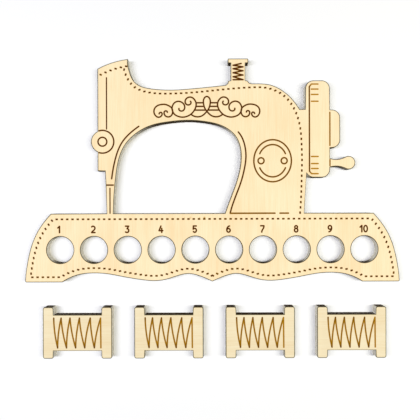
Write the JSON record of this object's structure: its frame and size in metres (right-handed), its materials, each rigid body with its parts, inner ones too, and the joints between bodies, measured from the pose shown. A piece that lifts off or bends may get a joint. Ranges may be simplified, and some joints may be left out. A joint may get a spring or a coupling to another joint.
{
  "type": "thread rack",
  "caption": "Flat wooden thread rack with numbered round holes along its base, a sewing machine silhouette on top and loose notched floss bobbins.",
  "frame": {"origin": "on the back of the rack, at the middle of its row of holes", "axes": "+X along the row from hole 1 to hole 10, +Y from the bar's foot up to the machine's spool, +Z out of the burnt face"},
  "size_m": [0.1994, 0.1596, 0.003],
  "materials": {
    "birch_face": "smooth bare birch with burnt lines",
    "birch_core": "bare birch, charred at the cut edges",
    "birch_back": "smooth bare birch"
  },
  "bodies": {
    "rack": {"rack_back_veneer": "birch_back", "rack_core_veneer": "birch_core", "rack_face_veneer": "birch_face"},
    "bobbin_1": {"bobbin_1_back_veneer": "birch_back", "bobbin_1_core_veneer": "birch_core", "bobbin_1_face_veneer": "birch_face"},
    "bobbin_2": {"bobbin_2_back_veneer": "birch_back", "bobbin_2_core_veneer": "birch_core", "bobbin_2_face_veneer": "birch_face"},
    "bobbin_3": {"bobbin_3_back_veneer": "birch_back", "bobbin_3_core_veneer": "birch_core", "bobbin_3_face_veneer": "birch_face"},
    "bobbin_4": {"bobbin_4_back_veneer": "birch_back", "bobbin_4_core_veneer": "birch_core", "bobbin_4_face_veneer": "birch_face"}
  },
  "joints": [
    {"name": "bobbin_1_lift", "type": "slide", "parent": "rack", "child": "bobbin_1", "axis": [0, 0, 1], "range_m": [0, 0.03]},
    {"name": "bobbin_2_lift", "type": "slide", "parent": "rack", "child": "bobbin_2", "axis": [0, 0, 1], "range_m": [0, 0.03]},
    {"name": "bobbin_3_lift", "type": "slide", "parent": "rack", "child": "bobbin_3", "axis": [0, 0, 1], "range_m": [0, 0.03]},
    {"name": "bobbin_4_lift", "type": "slide", "parent": "rack", "child": "bobbin_4", "axis": [0, 0, 1], "range_m": [0, 0.03]}
  ]
}
